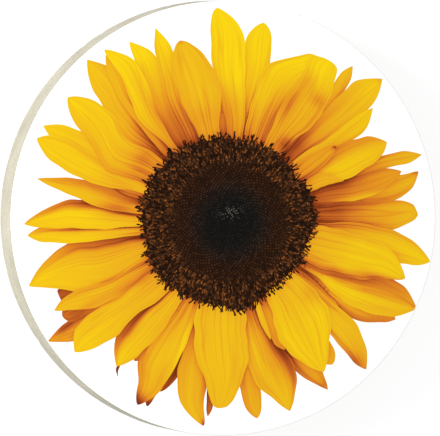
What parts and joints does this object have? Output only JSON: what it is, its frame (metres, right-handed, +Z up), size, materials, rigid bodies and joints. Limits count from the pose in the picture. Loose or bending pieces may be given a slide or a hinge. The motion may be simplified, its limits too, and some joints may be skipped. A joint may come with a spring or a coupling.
{
  "type": "round stone coaster",
  "caption": "Round pale stone coaster with a white face printed with a sunflower and a cork backing; it lies flat and takes a cup.",
  "frame": {"origin": "middle of the cork's underside, on the table", "axes": "+Z up out of the printed face; +Y towards the top of the printed flower"},
  "size_m": [0.102, 0.102, 0.0146],
  "materials": {
    "sandstone": "pale beige sandstone, sawn and tumbled, matt and faintly mottled",
    "white_coat": "white baked primer coat with a satin sheen, printed with a yellow and dark brown sunflower",
    "cork": "agglomerated sheet cork, raw and matt"
  },
  "bodies": {
    "root": {"stone_body": "sandstone", "printed_face": "white_coat", "cork_backing": "cork"}
  },
  "joints": []
}
